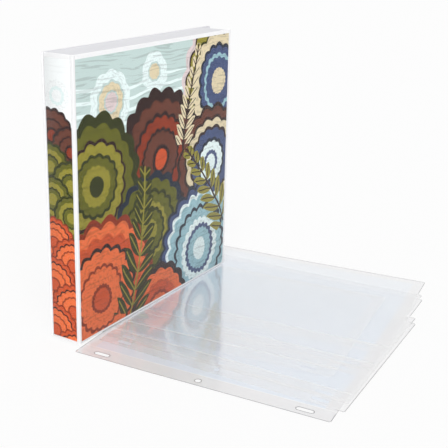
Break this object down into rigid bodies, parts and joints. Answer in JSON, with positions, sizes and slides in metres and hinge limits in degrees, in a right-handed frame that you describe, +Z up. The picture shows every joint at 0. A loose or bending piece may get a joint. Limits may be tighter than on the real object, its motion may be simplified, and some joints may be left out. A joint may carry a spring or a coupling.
{
  "type": "brochure storage binder",
  "caption": "White case binder that closes on all sides, with clear outside pockets, printed inserts and a ring mechanism, standing on a fan of clear hole-punched pages.",
  "frame": {"origin": "on the floor, under the middle of the whole set's outline", "axes": "+Z up, the spine faces -X, the front cover faces -Y, the back faces +Y"},
  "size_m": [0.3832, 0.3316, 0.2949],
  "materials": {
    "white_plastic": "moulded polypropylene, fine satin grain",
    "clear_film": "clear welded film",
    "printed_paper": null,
    "bright_steel": "nickel-plated",
    "dull_steel": "plain steel",
    "clear_page": "clear page film"
  },
  "bodies": {
    "pages": {"page_1": "clear_page", "page_2": "clear_page", "page_3": "clear_page", "page_4": "clear_page", "page_5": "clear_page", "page_6": "clear_page", "page_7": "clear_page", "page_8": "clear_page"},
    "case": {"back_tray": "white_plastic", "rear_hinge": "white_plastic", "back_pocket": "clear_film", "ring_housing": "bright_steel", "lever_pin_top": "dull_steel", "lever_pin_bottom": "dull_steel", "rivet_top": "dull_steel", "rivet_bottom": "dull_steel"},
    "spine": {"spine_panel": "white_plastic", "front_hinge": "white_plastic", "spine_pocket": "clear_film"},
    "cover": {"front_cover": "white_plastic", "front_pocket": "clear_film"},
    "front_insert": {"front_insert": "printed_paper"},
    "spine_insert": {"spine_insert": "printed_paper"},
    "back_insert": {"back_insert": "printed_paper"},
    "left_rings": {"blade_left": "bright_steel", "ring_left_top": "bright_steel", "ring_left_middle": "bright_steel", "ring_left_bottom": "bright_steel"},
    "right_rings": {"blade_right": "bright_steel", "ring_right_top": "bright_steel", "ring_right_middle": "bright_steel", "ring_right_bottom": "bright_steel"},
    "top_lever": {"lever_top": "bright_steel"},
    "bottom_lever": {"lever_bottom": "bright_steel"}
  },
  "joints": [
    {"name": "case_lift", "type": "slide", "parent": "pages", "child": "case", "axis": [0, 0, 1], "range_m": [0, 0.1]},
    {"name": "spine_hinge", "type": "hinge", "parent": "case", "child": "spine", "pos_m": [-0.1799, 0.14636, 0.14865], "axis": [0, 0, -1], "range_deg": [0, 90]},
    {"name": "cover_hinge", "type": "hinge", "parent": "spine", "child": "cover", "pos_m": [-0.1799, 0.10981, 0.14865], "axis": [0, 0, -1], "range_deg": [0, 180]},
    {"name": "front_insert_slide", "type": "slide", "parent": "cover", "child": "front_insert", "axis": [0, 0, 1], "range_m": [0, 0.285]},
    {"name": "spine_insert_slide", "type": "slide", "parent": "spine", "child": "spine_insert", "axis": [0, 0, 1], "range_m": [0, 0.285]},
    {"name": "back_insert_slide", "type": "slide", "parent": "case", "child": "back_insert", "axis": [0, 0, 1], "range_m": [0, 0.285]},
    {"name": "left_ring_hinge", "type": "hinge", "parent": "case", "child": "left_rings", "pos_m": [-0.16613, 0.14323, 0.14865], "axis": [0, 0, -1], "range_deg": [0, 16]},
    {"name": "right_ring_hinge", "type": "hinge", "parent": "case", "child": "right_rings", "pos_m": [-0.14713, 0.14323, 0.14865], "axis": [0, 0, 1], "range_deg": [0, 16]},
    {"name": "top_lever_hinge", "type": "hinge", "parent": "case", "child": "top_lever", "pos_m": [-0.15663, 0.14303, 0.2774], "axis": [-1, 0, 0], "range_deg": [0, 32]},
    {"name": "bottom_lever_hinge", "type": "hinge", "parent": "case", "child": "bottom_lever", "pos_m": [-0.15663, 0.14303, 0.0199], "axis": [1, 0, 0], "range_deg": [0, 32]}
  ],
  "couplings": [
    {"joint": "right_ring_hinge", "follows": "left_ring_hinge", "ratio": 1},
    {"joint": "top_lever_hinge", "follows": "left_ring_hinge", "ratio": 2},
    {"joint": "bottom_lever_hinge", "follows": "left_ring_hinge", "ratio": 2}
  ]
}
